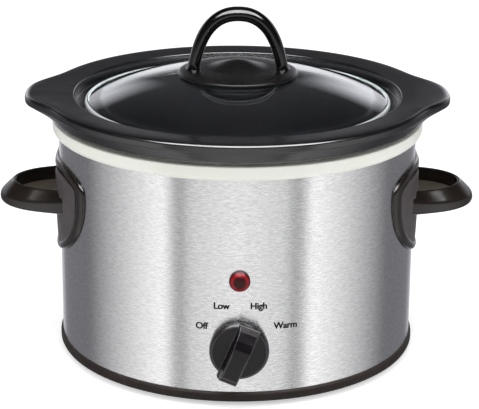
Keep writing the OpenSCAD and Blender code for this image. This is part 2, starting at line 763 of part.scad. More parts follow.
function glass_top(r) = dome_mid_z + sqrt(dome_r * dome_r - r * r);
function glass_under(r) = dome_mid_z + sqrt(pow(dome_r - glass_t, 2) - r * r);
gasket_t = 0.6;
grip_gap = gasket_t + 2 * fit_gap;
grip_rim = 3.2;
grip_z = glass_top(grip_base_r) + grip_gap;
boss_r = 21;
boss_h = 4.6;
bore_depth = 5;
arch_foot_z = apex_z + 0.6;
arch_rise = apex_z + arch_h - arch_t / 2 - arch_foot_z;

// Height of the base's upper side: nearly flat, with a low boss over the screw
function grip_top(r) = grip_z + grip_rim + 0.6 * (1 - r / grip_base_r)
    + (r < boss_r ? boss_h * pow(1 - pow(r / boss_r, 2), 2) : 0);

// Round base of the handle, dished underneath to sit over the glass
module grip_base() {
    round_r = 1;
    rotate_extrude() polygon(concat(
        [for (i = [0:6]) let (r = grip_base_r * i / 6) [r, glass_top(r) + grip_gap]],
        arc(grip_base_r - round_r, grip_z + grip_rim - round_r, round_r, 0, 75, 3),
        [for (i = [8:-1:0]) let (r = boss_r * i / 8) [r, grip_top(r)]]));
}

// Cross-section of the arch at angle a: rounded, wider where it joins the base
function arch_ring(a) =
    let (foot = pow(abs(cos(a)), 6), rt = arch_t / 2 + 0.5 * foot, rw = arch_w / 2 + 1.2 * foot,
         c = [arch_half * cos(a), arch_foot_z + arch_rise * sin(a)], d = [cos(a), sin(a)])
    [for (i = [0:15]) let (b = 360 * i / 16, u = rt * cos(b), v = rw * sin(b))
        [c[0] + u * d[0], v, c[1] + u * d[1]]];

module lid_handle() {
    arch_n = 32;
    color([0.10, 0.10, 0.10]) difference() {
        union() {
            grip_base();
            skin([for (i = [0:arch_n]) arch_ring(180 * i / arch_n)]);
        }
        translate([0, 0, apex_z - 2]) cylinder(r = stud_r + run_gap, h = bore_depth + 2, $fn = 32);
    }
}

gasket_r = 15;

module lid_gasket() {
    inner = lid_hole_r + 1;
    low_in = glass_top(inner) + fit_gap;
    low_out = glass_top(gasket_r) + fit_gap;
    color([0.30, 0.30, 0.30]) rotate_extrude($fn = 64) polygon([
        [inner, low_in], [gasket_r, low_out], [gasket_r, low_out + gasket_t], [inner, low_in + gasket_t]]);
}

washer_r = 8;
washer_t = 1;
washer_dish = 0.6;
washer_top = glass_under(washer_r) - fit_gap;

module lid_washer() {
    color([0.75, 0.76, 0.77]) rotate_extrude($fn = 64) polygon([
        [stud_r + run_gap, washer_top - washer_t - washer_dish], [washer_r, washer_top - washer_t],
        [washer_r, washer_top], [stud_r + run_gap, washer_top]]);
}

module lid_screw() {
    head_top = washer_top - washer_t - washer_dish - fit_gap;
    color([0.75, 0.76, 0.77]) union() {
        translate([0, 0, head_top - eps]) cylinder(r = stud_r, h = apex_z + bore_depth - 1 - head_top, $fn = 32);
        rotate_extrude($fn = 48) polygon([
            [0, head_top - 2.4], [2.6, head_top - 2.2], [4, head_top - 1.2], [4.4, head_top], [0, head_top]]);
    }
}

outer_shell();
base_pan();
rubber_feet();
rim_collar();
heater_well();
heating_band();
band_straps();
insulation_wrap();
tie_bracket();
tie_bolt();
tie_nut();
thermal_fuse();
fuse_clip();
rotary_switch();
switch_nut();
indicator_lens();
neon_lamp();
lamp_clip();
left_handle();
right_handle();
handle_screws();
cord_gland();
gland_nut();
terminal_block();
terminal_screws();
switch_shaft();
control_knob();
crock();
glass_lid();
lid_handle();
lid_gasket();
lid_washer();
lid_screw();
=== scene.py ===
import json
import math

import bmesh
import bpy
from mathutils import Matrix, Vector


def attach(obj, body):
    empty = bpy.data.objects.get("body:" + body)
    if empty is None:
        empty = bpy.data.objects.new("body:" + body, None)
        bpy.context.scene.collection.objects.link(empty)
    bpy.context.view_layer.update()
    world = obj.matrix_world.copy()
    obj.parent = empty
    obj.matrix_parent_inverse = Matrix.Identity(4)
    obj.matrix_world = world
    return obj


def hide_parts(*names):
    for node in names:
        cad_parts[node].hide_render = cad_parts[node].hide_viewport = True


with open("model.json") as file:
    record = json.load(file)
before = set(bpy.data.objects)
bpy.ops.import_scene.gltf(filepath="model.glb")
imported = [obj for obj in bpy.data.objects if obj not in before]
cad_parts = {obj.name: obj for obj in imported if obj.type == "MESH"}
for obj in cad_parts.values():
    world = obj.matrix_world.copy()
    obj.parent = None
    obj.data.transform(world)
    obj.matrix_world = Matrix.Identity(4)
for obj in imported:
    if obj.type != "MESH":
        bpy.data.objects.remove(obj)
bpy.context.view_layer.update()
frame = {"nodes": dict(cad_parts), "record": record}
scene = bpy.context.scene

# ------------------------------------------------------------------- camera

# Place in metres, angles in degrees, lens and film in millimetres
CAMERA_AT = (-0.0196, -1.1042, 0.4619)
CAMERA_TURN = -1.106
CAMERA_DOWN = 18.59
CAMERA_ROLL = 0.47
CAMERA_LENS = 134.2
CAMERA_FILM = 36.0


def add_camera():
    """The photograph's viewpoint: a long lens, a little above the lid."""
    data = bpy.data.cameras.new("camera")
    data.lens = CAMERA_LENS
    data.sensor_width = CAMERA_FILM
    camera = bpy.data.objects.new("camera", data)
    scene.collection.objects.link(camera)
    turn = Matrix.Rotation(math.radians(CAMERA_TURN), 4, "Z")
    tilt = Matrix.Rotation(math.radians(90.0 - CAMERA_DOWN), 4, "X")
    roll = Matrix.Rotation(math.radians(CAMERA_ROLL), 4, "Z")
    camera.matrix_world = Matrix.Translation(CAMERA_AT) @ turn @ tilt @ roll
    scene.camera = camera


add_camera()

# ------------------------------------------- sizes, as in the solid model, mm

MM = 0.001
SHELL_R = 114.5
SHELL_TOP = 147.0
FIT_GAP = 0.1
SEAT_GAP = 0.3
LENS_Z = 81.0
LENS_R = 6.35

LOOP_DROP = 38.2
LOOP_Z = SHELL_TOP - LOOP_DROP
LOOP_H = 14.2
LOOP_REACH = 28.5
LOOP_ROOT = 2.5
LOOP_HALF = 25.0
LOOP_TIP_T = 10.5
LOOP_ROOT_T = 8.0
HOLD_DEPTH = 8.8
HOLD_T = 3.0
PAD_DROP = 33.0
PAD_Z = SHELL_TOP - PAD_DROP
PAD_HALF = 65.4
PAD_UP = 16.0
PAD_DOWN = 47.5
PAD_T = 2.6
PAD_IN = SHELL_R + FIT_GAP
PAD_OUT = PAD_IN + PAD_T

CROCK_INSET = 13.0
CROCK_TAPER = 12.0
CROCK_R = SHELL_R - CROCK_INSET
CROCK_FOOT_R = CROCK_R - CROCK_TAPER
CROCK_CORNER = 20.0
CROCK_WALL = 9.0
CROCK_FLOOR = 9.0
CROCK_H = 124.9
CROCK_FOOT_Z = 30.0
BOWL_R = CROCK_R - CROCK_WALL
BOWL_FOOT_R = CROCK_FOOT_R - CROCK_WALL + 0.5
BOWL_CORNER = 22.0
SEAT_Z = CROCK_FOOT_Z + CROCK_H
SEAT_OUT_R = 110.3
SEAT_IN_R = 105.7
LEDGE_T = 4.4
LEDGE_Z = SEAT_Z + LEDGE_T
RECESS_H = 7.7
RECESS_STEP = 2.5
LIP_Z = LEDGE_Z + RECESS_H
RECESS_R = CROCK_R + RECESS_STEP
RIM_OVERHANG = 9.3
RIM_R = SHELL_R + RIM_OVERHANG
EAR_REACH = 11.7
EAR_HALF_ANGLE = 13.7

LID_INSET = 6.5
LID_RISE = 21.7
LID_Z = LEDGE_Z + SEAT_GAP
APEX_Z = LID_Z + LID_RISE
BEAD_R = 1.8
BEAD_Z = LID_Z + BEAD_R
EDGE_R = RECESS_R - LID_INSET - BEAD_R
DOME_R = 250.5
DOME_MID_Z = APEX_Z - DOME_R
GLASS_T = 3.5
GLASS_HOLE_R = 4.0
GRIP_R = 38.0
GRIP_RIM = 3.2
GRIP_GAP = 0.8
BOSS_R = 21.0
BOSS_H = 4.6
ARCH_HALF = 26.2
ARCH_H = 40.5
ARCH_T = 8.2
ARCH_W = 11.5

# ---------------------------------------------------------------- node tools


def linear(colour):
    """A colour of three screen values from 0 to 255, as the shader takes it."""
    parts = []
    for value in colour:
        share = value / 255.0
        low = share / 12.92
        high = ((share + 0.055) / 1.055) ** 2.4
        parts.append(low if share <= 0.04045 else high)
    return (*parts, 1.0)


def mixed(tree, share, first, second):
    """A shader that goes from the first to the second as the share goes from 0 to 1."""
    node = tree.nodes.new("ShaderNodeMixShader")
    tree.links.new(share, node.inputs["Fac"])
    tree.links.new(first, node.inputs[1])
    tree.links.new(second, node.inputs[2])
    return node.outputs["Shader"]


def calc(tree, operation, *values):
    """A maths node whose inputs are numbers or other nodes' outputs."""
    node = tree.nodes.new("ShaderNodeMath")
    node.operation = operation
    for socket, value in zip(node.inputs, values):
        if isinstance(value, (int, float)):
            socket.default_value = value
        else:
            tree.links.new(value, socket)
    return node.outputs["Value"]


def ramp(tree, value, start, end, low=0.0, high=1.0):
    """From low at the start to high at the end, held outside."""
    node = tree.nodes.new("ShaderNodeMapRange")
    node.inputs["From Min"].default_value = start
    node.inputs["From Max"].default_value = end
    node.inputs["To Min"].default_value = low
    node.inputs["To Max"].default_value = high
    tree.links.new(value, node.inputs["Value"])
    return node.outputs["Result"]


def window(tree, value, limits):
    """1 between the two middle limits, down to 0 at the outer ones."""
    rise = ramp(tree, value, limits[0], limits[1])
    return calc(tree, "MULTIPLY", rise, ramp(tree, value, limits[3], limits[2]))


# ---------------------------------------------------------------- materials

# The part of a noise's range that holds most of its values
NOISE_LOW = 0.35
NOISE_HIGH = 0.65
EVEN = (1.0, 1.0, 1.0)
# Noise in moulded pieces and in sheet metal, in waves per metre, and the grain's depth in metres
MOULD_TONES = 38.0
MOULD_GLOSS = 70.0
MOULD_GRAIN = 900.0
MOULD_DEPTH = 0.00002
SHEET_TONES = 60.0
SHEET_GLOSS = 90.0
SHEET_GRAIN = 400.0
SHEET_DEPTH = 0.000004
# Where the glass is ground: from this far outside its bead's middle, fading in over a width, mm
GROUND_PAST_EDGE = 0.5
GROUND_FADE = 0.2


class Finish:
    """A procedural material: its shader, and short calls that add nodes to it."""

    def __init__(self, name, **sockets):
        """Sockets are constants of the shader, with _ for a space in their names."""
        self.material = bpy.data.materials.new(name)
        self.material.use_nodes = True
        self.tree = self.material.node_tree
        self.nodes = self.tree.nodes
        self.links = self.tree.links
        self.shader = self.nodes["Principled BSDF"]
        for key, value in sockets.items():
            self.shader.inputs[key.replace("_", " ")].default_value = value

    def noise(self, scale, detail=3.0, stretch=EVEN):
        """Noise from 0 to 1 over the object, scale in waves per metre, times the stretch."""
        coords = self.nodes.new("ShaderNodeTexCoord")
        mapping = self.nodes.new("ShaderNodeMapping")
        mapping.inputs["Scale"].default_value = stretch
        noise = self.nodes.new("ShaderNodeTexNoise")
        noise.inputs["Scale"].default_value = scale
        noise.inputs["Detail"].default_value = detail
        self.links.new(coords.outputs["Object"], mapping.inputs["Vector"])
        self.links.new(mapping.outputs["Vector"], noise.inputs["Vector"])
        return noise.outputs["Fac"]

    def stops(self, value, stops):
        """The surface's colour by several stops, each a place from 0 to 1 and a colour."""
        colours = self.nodes.new("ShaderNodeValToRGB")
        first, last = colours.color_ramp.elements
        first.position, first.color = stops[0]
        last.position, last.color = stops[-1]
        for position, colour in stops[1:-1]:
            colours.color_ramp.elements.new(position).color = colour
        self.links.new(value, colours.inputs["Fac"])
        self.links.new(colours.outputs["Color"], self.shader.inputs["Base Color"])

    def tones(self, value, dark, light):
        """The surface's colour, between two tones."""
        self.stops(value, ((NOISE_LOW, dark), (NOISE_HIGH, light)))

    def distance(self, centre, axes):
        """Distance from a point of the object, in metres, along the axes that aren't 0."""
        coords = self.nodes.new("ShaderNodeTexCoord")
        offset = self.nodes.new("ShaderNodeVectorMath")
        offset.operation = "SUBTRACT"
        offset.inputs[1].default_value = centre
        scaled = self.nodes.new("ShaderNodeVectorMath")
        scaled.operation = "MULTIPLY"
        scaled.inputs[1].default_value = axes
        length = self.nodes.new("ShaderNodeVectorMath")
        length.operation = "LENGTH"
        self.links.new(coords.outputs["Object"], offset.inputs[0])
        self.links.new(offset.outputs["Vector"], scaled.inputs[0])
        self.links.new(scaled.outputs["Vector"], length.inputs[0])
        return length.outputs["Value"]

    def rough(self, value, low, high):
        """The surface's roughness, between two values."""
        roughness = ramp(self.tree, value, NOISE_LOW, NOISE_HIGH, low, high)
        self.links.new(roughness, self.shader.inputs["Roughness"])

    def bump(self, value, depth):
        """Fine relief of the surface, depth in metres."""
        bump = self.nodes.new("ShaderNodeBump")
        bump.inputs["Distance"].default_value = depth
        self.links.new(value, bump.inputs["Height"])
        self.links.new(bump.outputs["Normal"], self.shader.inputs["Normal"])


def moulded(name, dark, light, low, high, grain=MOULD_GRAIN, depth=MOULD_DEPTH, **sockets):
    """Moulded plastic, rubber or glaze: two near tones, uneven gloss and a fine grain."""
    finish = Finish(name, **sockets)
    finish.tones(finish.noise(MOULD_TONES), linear(dark), linear(light))
    finish.rough(finish.noise(MOULD_GLOSS, 4.0), low, high)
    finish.bump(finish.noise(grain, 2.0), depth)
    return finish.material


def metal(name, dark, light, low, high):
    """Sheet metal: two near tones, uneven gloss and a fine grain."""
    finish = Finish(name, Metallic=1.0)
    finish.tones(finish.noise(SHEET_TONES, 4.0), linear(dark), linear(light))
    finish.rough(finish.noise(SHEET_GLOSS), low, high)
    finish.bump(finish.noise(SHEET_GRAIN, 2.0), SHEET_DEPTH)
    return finish.material


def brushed_shell():
    """Steel brushed round the housing: long level grain, and reflections that stretch upright."""
    finish = Finish("brushed_shell", Metallic=1.0, Anisotropic=0.88, Anisotropic_Rotation=0.25)
    streaks = finish.noise(300.0, 1.0, stretch=(1.0, 1.0, 7.0))
    finish.tones(streaks, linear((215, 215, 216)), linear((235, 235, 236)))
    finish.rough(finish.noise(90.0, 2.0, stretch=(1.0, 1.0, 24.0)), 0.22, 0.25)
    finish.bump(finish.noise(220.0, 2.0, stretch=(1.0, 1.0, 16.0)), 0.0000006)
    tangent = finish.nodes.new("ShaderNodeTangent")
    tangent.direction_type = "RADIAL"
    tangent.axis = "Z"
    finish.links.new(tangent.outputs["Tangent"], finish.shader.inputs["Tangent"])
    return finish.material


def clear_glass():
    """Lid glass with a ground edge, and light let through in its shadow."""
    ground_r = (EDGE_R + GROUND_PAST_EDGE) * MM
    finish = Finish("clear_glass", Roughness=0.0, IOR=1.45, Transmission_Weight=1.0)
    finish.tones(finish.noise(20.0), linear((244, 250, 250)), linear((250, 253, 253)))
    ground = finish.nodes.new("ShaderNodeBsdfPrincipled")
    ground.inputs["Base Color"].default_value = linear((236, 240, 242))
    ground.inputs["Roughness"].default_value = 0.25
    ground.inputs["Transmission Weight"].default_value = 0.15
    radius = finish.distance((0.0, 0.0, 0.0), axes=(1.0, 1.0, 0.0))
    edge = ramp(finish.tree, radius, ground_r - GROUND_FADE * MM, ground_r)
    glass = mixed(finish.tree, edge, finish.shader.outputs["BSDF"], ground.outputs["BSDF"])
    through = finish.nodes.new("ShaderNodeBsdfTransparent")
    through.inputs["Color"].default_value = (0.9, 0.93, 0.93, 1.0)
    path = finish.nodes.new("ShaderNodeLightPath")
    seen = mixed(finish.tree, path.outputs["Is Shadow Ray"], glass, through.outputs["BSDF"])
    finish.links.new(seen, finish.nodes["Material Output"].inputs["Surface"])
    return finish.material


def red_lens():
    """Clear red moulding over an unlit lamp, with its dome's light and shade painted in: painted
    shade in the middle, a painted lit red ring round it, and painted shade at its rim.
    """
    finish = Finish("red_lens", IOR=1.49, Specular_IOR_Level=0.22)
    off_axis = finish.distance((0.0, 0.0, LENS_Z * MM), axes=(1.0, 0.0, 1.0))
    reach = ramp(finish.tree, off_axis, 0.0, LENS_R * MM)
    # Painted light and shade of the domed lens: a dark middle, a lit red ring and a dark rim
    middle = (0.0, linear((52, 20, 20)))
    round_it = (0.56, linear((58, 20, 22)))
    bright = linear((158, 18, 28))
    rim = (0.92, linear((62, 6, 14)))
    finish.stops(reach, (middle, round_it, (0.7, bright), (0.82, bright), rim))
    finish.rough(finish.noise(90.0), 0.24, 0.32)
    finish.bump(finish.noise(600.0), MOULD_DEPTH)
    return finish.material


# Finishes of the slots: two tones as screen values, the least and the most roughness, and extras
SLOTS = {
    "brushed_shell": brushed_shell(),
    "base_black": moulded(
        "base_black", (42, 37, 35), (49, 43, 41), 0.5, 0.6, Specular_IOR_Level=0.12
    ),
    "foot_rubber": moulded("foot_rubber", (26, 26, 26), (36, 36, 36), 0.7, 0.85),
    "collar_cream": moulded(
        "collar_cream", (247, 248, 238), (251, 252, 245), 0.3, 0.4, Specular_IOR_Level=0.4
    ),
    "well_steel": metal("well_steel", (206, 208, 210), (222, 224, 226), 0.35, 0.5),
    "band_mica": moulded("band_mica", (196, 188, 168), (212, 204, 184), 0.6, 0.75),
    "strap_steel": metal("strap_steel", (205, 205, 207), (220, 220, 222), 0.25, 0.35),
    "wrap_fibre": moulded(
        "wrap_fibre", (232, 228, 214), (246, 243, 232), 0.85, 0.95, grain=260.0, depth=0.0004
    ),
    "plated_steel": metal("plated_steel", (196, 198, 200), (214, 215, 216), 0.28, 0.4),
    "fuse_ceramic": moulded("fuse_ceramic", (222, 216, 200), (232, 226, 212), 0.55, 0.7),
    "switch_plastic": moulded("switch_plastic", (40, 40, 42), (52, 52, 54), 0.5, 0.6),
    "lens_red": red_lens(),
    "lamp_glass": moulded(
        "lamp_glass", (236, 168, 130), (246, 190, 150), 0.1, 0.2, Transmission_Weight=0.6
    ),
    "handle_black": moulded(
        "handle_black", (30, 25, 21), (37, 31, 27), 0.17, 0.24, Specular_IOR_Level=0.5
    ),
    "gland_rubber": moulded("gland_rubber", (30, 30, 30), (40, 40, 40), 0.6, 0.75),
    "block_plastic": moulded("block_plastic", (236, 232, 216), (244, 240, 226), 0.5, 0.6),
    "brass": metal("brass", (214, 178, 98), (228, 194, 116), 0.25, 0.4),
    "knob_black": moulded(
        "knob_black", (16, 12, 15), (22, 17, 21), 0.16, 0.24, Specular_IOR_Level=0.3
    ),
    "crock_glaze": moulded(
        "crock_glaze", (18, 18, 21), (25, 25, 29), 0.15, 0.22, grain=60.0, depth=0.00003,
        Specular_IOR_Level=0.85
    ),
    "clear_glass": clear_glass(),
    "lid_black": moulded("lid_black", (7, 6, 6), (10, 9, 9), 0.09, 0.14, Specular_IOR_Level=0.55),
    "gasket_rubber": moulded("gasket_rubber", (120, 120, 120), (134, 134, 134), 0.7, 0.8),
}

# Finishes of pieces and areas that look unlike the rest of their slot
# Finger recess floor: a duller gloss, and a lighter tone that is painted light falling on it
RECESS_PAINTED_LIGHT = moulded("recess_painted_light", (88, 80, 72), (100, 91, 82), 0.35, 0.45)
# Pad face: a satin gloss, and a lighter tone that is painted sheen
PAD_SATIN_PAINTED_SHEEN = moulded("pad_satin_painted_sheen", (72, 67, 68), (80, 75, 76), 0.4, 0.5)
DISC_BLACK = moulded("disc_black", (14, 13, 13), (22, 20, 20), 0.26, 0.34, Specular_IOR_Level=0.3)
# Painted highlight: a lighter tone on the knob's rounded edges, for the light that they catch
EDGE_PAINTED_HIGHLIGHT = moulded("edge_painted_highlight", (50, 47, 50), (60, 57, 60), 0.2, 0.3)
PRINTED_INK = moulded("printed_ink", (4, 4, 4), (8, 8, 8), 0.6, 0.7, Specular_IOR_Level=0.1)


def dress(node, slot):
    """Gives a CAD node its finish."""
    piece = frame["nodes"][node]
    piece.data.materials.clear()
    piece.data.materials.append(SLOTS[slot])


for subpart in frame["record"]["subparts"]:
    dress(subpart["node"], subpart["material_slot"])

# ---------------------------------------------------------------- mesh tools

# Faces that meet at more than this angle, in degrees, show an edge
SHARP_ANGLE = 35.0
# Points nearer to each other than this, in metres, are one
MERGE = 1e-7


def add_piece(name, points, faces, slot, body, finish=None):
    """A closed mesh, given in millimetres, with its slot's finish or one of its own."""
    mesh = bpy.data.meshes.new(name)
    mesh.from_pydata([Vector(p) * MM for p in points], [], faces)
    mesh.validate()
    mesh.shade_smooth()
    mesh.set_sharp_from_angle(angle=math.radians(SHARP_ANGLE))
    mesh.materials.append(finish or SLOTS[slot])
    piece = bpy.data.objects.new(name, mesh)
    scene.collection.objects.link(piece)
    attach(piece, body)
    outward(piece)
    return piece


def skin(rings, round_trip=False, closed=True):
    """Points and faces of a skin over rings of points; a round trip joins the last to the first."""
    count = len(rings[0])
    points = [p for ring in rings for p in ring]
    faces = []
    spans = len(rings) if round_trip else len(rings) - 1
    for i in range(spans):
        j = (i + 1) % len(rings)
        for k in range(count if closed else count - 1):
            m = (k + 1) % count
            faces.append((i * count + k, j * count + k, j * count + m, i * count + m))
    if not round_trip:
        for end, ring in ((0, rings[0]), (len(rings) - 1, rings[-1])):
            middle = sum((Vector(p) for p in ring), Vector()) / count
            points.append(tuple(middle))
            hub = len(points) - 1
            for k in range(count):
                m = (k + 1) % count
                rim = (end * count + k, end * count + m)
                faces.append((hub, rim[0], rim[1]) if end == 0 else (hub, rim[1], rim[0]))
    return points, faces


def joined(*skins):
    """Several skins as one list of points and faces."""
    points = []
    faces = []
    for part_points, part_faces in skins:
        start = len(points)
        points.extend(part_points)
        faces.extend(tuple(i + start for i in face) for face in part_faces)
    return points, faces


def between(a, b, share):
    """The point at a share of the way from a to b."""
    return tuple(x + (y - x) * share for x, y in zip(a, b))


def rounded(points, closed=False, rounds=2):
    """Cuts the corners of an outline again and again, which rounds them."""
    for _ in range(rounds):
        spans = len(points) if closed else len(points) - 1
        cut = [] if closed else [points[0]]
        for i in range(spans):
            a = points[i]
            b = points[(i + 1) % len(points)]
            cut.append(between(a, b, 0.25))
            cut.append(between(a, b, 0.75))
        if not closed:
            cut.append(points[-1])
        points = cut
    return points


def arc(x, y, radius, start, end, steps):
    """Points of an arc in a plane, angles in degrees."""
    points = []
    for i in range(steps + 1):
        angle = math.radians(start + (end - start) * i / steps)
        points.append((x + radius * math.cos(angle), y + radius * math.sin(angle)))
    return points


def spun(r, z, angle):
    """The point at radius r and height z, turned round the axis by an angle in degrees."""
    turn = math.radians(angle)
    return (r * math.cos(turn), r * math.sin(turn), z)


def turned(section, steps, closed=True):
    """A skin over a section turned round the axis; the section is a function of the angle."""
    rings = []
    for i in range(steps):
        angle = 360.0 * i / steps
        rings.append([spun(r, z, angle) for r, z in section(angle)])
    return skin(rings, round_trip=True, closed=closed)


def outward(piece):
    """Turns the faces of a closed mesh to face out."""
    work = bmesh.new()
    work.from_mesh(piece.data)
    bmesh.ops.remove_doubles(work, verts=work.verts, dist=MERGE)
    bmesh.ops.recalc_face_normals(work, faces=work.faces)
    work.to_mesh(piece.data)
    work.free()


# --------------------------------------------------------------------- crock

CROCK_STEPS = 256
CORNER_STEPS = 12
EAR_POWER = 3.3
FOOT_RECESS = 1.2


def ear_reach(angle):
    """How far the rim stands out past its round at an angle in degrees."""
    off = abs((angle + 90.0) % 180.0 - 90.0)
    return EAR_REACH * math.exp(-math.log(2.0) * (off / EAR_HALF_ANGLE) ** EAR_POWER)


def crock_section(angle):
    """The crock's wall from the middle of the bowl, over the rim, to the middle of the foot."""
    e = ear_reach(angle)
    r = RIM_R
    z = LIP_Z
    floor = CROCK_FOOT_Z + CROCK_FLOOR
    bowl_mid = BOWL_FOOT_R - BOWL_CORNER
    bowl = [(0.0, floor)]
    bowl += arc(bowl_mid, floor + BOWL_CORNER, BOWL_CORNER, -90.0, 0.0, CORNER_STEPS)
    bowl += rounded([(BOWL_R, LEDGE_Z - 4.0), (BOWL_R, LEDGE_Z), (BOWL_R + 4.0, LEDGE_Z)], rounds=3)
    recess = [(RECESS_R - 3.0, LEDGE_Z), (RECESS_R - 0.3, LEDGE_Z), (RECESS_R - 0.1, LEDGE_Z + 2.0)]
    recess += [(RECESS_R + 0.1, z - 2.0), (RECESS_R + 0.2, z - 0.1), (RECESS_R + 2.4, z)]
    flat = [(r - 14.0 + 0.3 * e, z + 0.25), (r - 5.0 + 0.85 * e, z + 0.75 - 0.04 * e)]
    edge = [(r - 1.6 + e, z + 0.6 - 0.04 * e), (r + 0.05 + e, z - 0.7 - 0.04 * e), (r + e, z - 2.7)]
    edge += [(r + e, z - 4.6), (r - 1.7 + e, z - 5.0), (r - 1.9 + 0.97 * e, z - 5.6)]
    skirt = [(r - 2.1 + 0.93 * e, z - 6.2), (r - 3.2 + 0.45 * e, z - 8.9), (r - 4.2, z - 11.2)]
    skirt += [(r - 5.2, z - 11.65), (r - 9.6, z - 11.6)]
    rim = rounded(recess + flat + edge + skirt, rounds=2)
    seat = [(r - 10.6, LEDGE_Z - 1.6), (SEAT_OUT_R, LEDGE_Z - 1.6)]
    seat += [(SEAT_OUT_R, SEAT_Z), (SEAT_IN_R, SEAT_Z)]
    wall = [(CROCK_R + 2.0, SEAT_Z - 1.8), (CROCK_R + 0.6, SEAT_Z - 4.6), (CROCK_R, SEAT_Z - 9.0)]
    foot_mid = CROCK_FOOT_R - CROCK_CORNER
    under = CROCK_FOOT_Z + FOOT_RECESS
    foot = arc(foot_mid, CROCK_FOOT_Z + CROCK_CORNER, CROCK_CORNER, 0.0, -90.0, CORNER_STEPS)
    foot += [(foot_mid - 4.0, CROCK_FOOT_Z), (foot_mid - 6.0, under), (0.0, under)]
    return bowl + rim + seat + wall + foot


stoneware = turned(crock_section, CROCK_STEPS, closed=False)
crock = add_piece("crock_stoneware", *stoneware, "crock_glaze", "crock")
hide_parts("crock")

# -------------------------------------------------------------- side handles

LOOP_STEPS = 120
# Where the loop's outer side begins, out from the pad's back
LOOP_SINK = 0.9
# How far the loop's top slopes down outwards: everywhere, more at the tip, and at the arms' roots
LOOP_SLOPE = 5.5
LOOP_SLOPE_TIP = 2.0
LOOP_SLOPE_ROOT = 1.6
# The arms' roots: how much wider, from which share of the plan on, and how far lifted below
SPREAD = 11.0
SPREAD_FROM = 0.55
SPREAD_POWER = 2.5
SPREAD_LIFT = 3.0

PAD_STEPS = 128
PAD_POWER_UP = 3.2
PAD_POWER_DOWN = 2.2
# Depth of the pad's face below its border, and how far its middle crowns back out
PAD_SUNK = 0.8
PAD_CROWN = 0.8
PAD_CROWN_POWER = 4
# The border's width, and the share of it that counts downwards
PAD_BORDER = 7.0
PAD_BORDER_DOWN = 0.6
# The shallow dip in the pad's top edge
PAD_DIP = 3.4
PAD_DIP_HALF = 24.0
PAD_FACE = PAD_OUT - PAD_SUNK
PAD_FACE_SHARES = (0.9, 0.8, 0.65, 0.5, 0.35, 0.2, 0.05)
# The radii, and the share of the way out to the border, within which the pad has its face's satin
# finish with its painted sheen
SATIN_FROM = PAD_IN + 1.0
SATIN_TO = PAD_OUT + 0.2
SATIN_SHARE = 0.99

HOLD_LAP = 1.5
HOLD_SINK = 0.5
HOLD_STEPS = 36
HOLD_BACK_STEPS = 20


def loop_section(angle):
    """The loop's section at an angle of its plan, from its inner side; it spreads at the roots."""
    across = math.cos(math.radians(angle))
    along = math.sin(math.radians(angle))
    root = SHELL_R - LOOP_ROOT
    spread = max(0.0, 1.0 - across / SPREAD_FROM) ** SPREAD_POWER
    reach = LOOP_REACH + LOOP_ROOT
    inner = (root + reach * across, LOOP_HALF * along)
    half = (LOOP_HALF + LOOP_ROOT_T) * abs(along) + SPREAD * spread
    back = min(root, math.sqrt((PAD_IN + LOOP_SINK) ** 2 - half * half))
    outer = (back + (reach + LOOP_TIP_T) * across, math.copysign(half, along))
    drop = (LOOP_SLOPE + LOOP_SLOPE_TIP * across) * (1.0 - spread) + LOOP_SLOPE_ROOT * spread
    top = LOOP_Z
    low = LOOP_Z - LOOP_H
    lift = SPREAD_LIFT * spread
    # Each point is a share of the way from the inner to the outer side, and a height
    shape = [(0.0, low + 1.4), (0.0, top - 1.1), (0.03, top - 0.15), (0.18, top)]
    shape += [(0.42, top - 0.3 * drop), (0.7, top - 0.68 * drop)]
    shape += [(0.94, top - drop - 0.3), (1.0, top - drop - 2.8)]
    shape += [(1.0, low + lift + 3.0), (0.96, low + lift + 1.0), (0.78, low + 0.6 * lift + 0.15)]
    shape += [(0.5, low + 0.2 * lift), (0.1, low + 0.1)]
    section = []
    for share, z in rounded(shape, closed=True):
        x, y = between(inner, outer, share)
        section.append((x, y, z))
    return section


def pad_reach(above, inset):
    """Height of the pad's outline above or below its widest line, set in by a width."""
    return PAD_UP - inset if above else PAD_DOWN - PAD_BORDER_DOWN * inset


def pad_ring(radius, inset, share):
    """The pad's outline on a cylinder of a radius, set in by a width and drawn at a share."""
    ring = []
    for i in range(PAD_STEPS):
        turn = 2.0 * math.pi * (i + 0.5) / PAD_STEPS
        across = math.cos(turn)
        height = math.sin(turn)
        power = 2.0 / (PAD_POWER_UP if height >= 0.0 else PAD_POWER_DOWN)
        reach = pad_reach(height >= 0.0, inset)
        y = share * (PAD_HALF - inset) * math.copysign(abs(across) ** power, across)
        if height >= 0.0:
            reach -= PAD_DIP * math.exp(-((y / PAD_DIP_HALF) ** 2))
        z = share * reach * math.copysign(abs(height) ** power, height)
        ring.append((math.sqrt(radius * radius - y * y), y, PAD_Z + z))
    return ring


def pad_rings():
    """From the back of the pad over its raised border to the middle of its face."""
    face_inset = PAD_BORDER + 2.0
    # Each point is a radius and how far it is set in from the outline
    edge = [(PAD_IN, 1.0), (PAD_IN, 0.0), (PAD_OUT - 1.6, 0.0), (PAD_OUT - 0.5, 0.7)]
    edge += [(PAD_OUT, 2.6), (PAD_OUT, 0.65 * PAD_BORDER), (PAD_OUT - 0.4, 0.85 * PAD_BORDER)]
    edge += [(PAD_FACE + 0.1, PAD_BORDER), (PAD_FACE, face_inset)]
    # The back, from its middle out to the edge
    rings = [pad_ring(PAD_IN, 1.0, 0.05), pad_ring(PAD_IN, 1.0, 0.6)]
    rings += [pad_ring(radius, inset, 1.0) for radius, inset in rounded(edge)]
    for share in PAD_FACE_SHARES:
        crown = PAD_CROWN * (1.0 - share ** PAD_CROWN_POWER)
        rings.append(pad_ring(PAD_FACE + crown, face_inset, share))
    return rings


